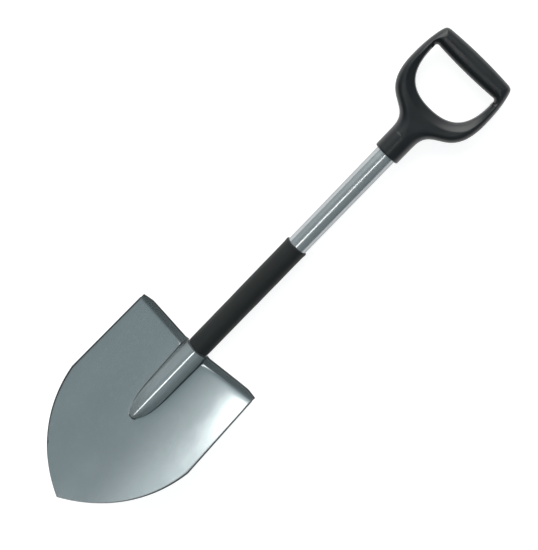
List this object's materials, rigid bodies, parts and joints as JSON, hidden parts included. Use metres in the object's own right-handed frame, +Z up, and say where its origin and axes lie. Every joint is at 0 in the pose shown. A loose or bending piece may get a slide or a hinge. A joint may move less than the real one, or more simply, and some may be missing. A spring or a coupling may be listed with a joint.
{
  "type": "round point shovel",
  "caption": "Compact round point shovel: dished pointed blade with turned steps and frog, painted tube, rubber sleeve, moulded D-handle.",
  "frame": {"origin": "on the floor, under the middle of the shovel as it lies on its back with the face of the blade up", "axes": "+X along the shaft from the blade towards the handle, +Y across the blade, +Z up out of the face of the blade"},
  "size_m": [0.7783, 0.2088, 0.0857],
  "materials": {
    "blade_paint": "gloss",
    "tube_paint": "semi-gloss",
    "plug_plastic": "matte",
    "sleeve_rubber": "matte",
    "handle_plastic": "satin",
    "rivet_steel": "satin"
  },
  "bodies": {
    "root": {"blade": "blade_paint", "shaft_tube": "tube_paint", "socket_welds": "blade_paint", "tube_plug": "plug_plastic", "grip_sleeve": "sleeve_rubber", "d_handle": "handle_plastic", "handle_rivet": "rivet_steel"}
  },
  "joints": []
}
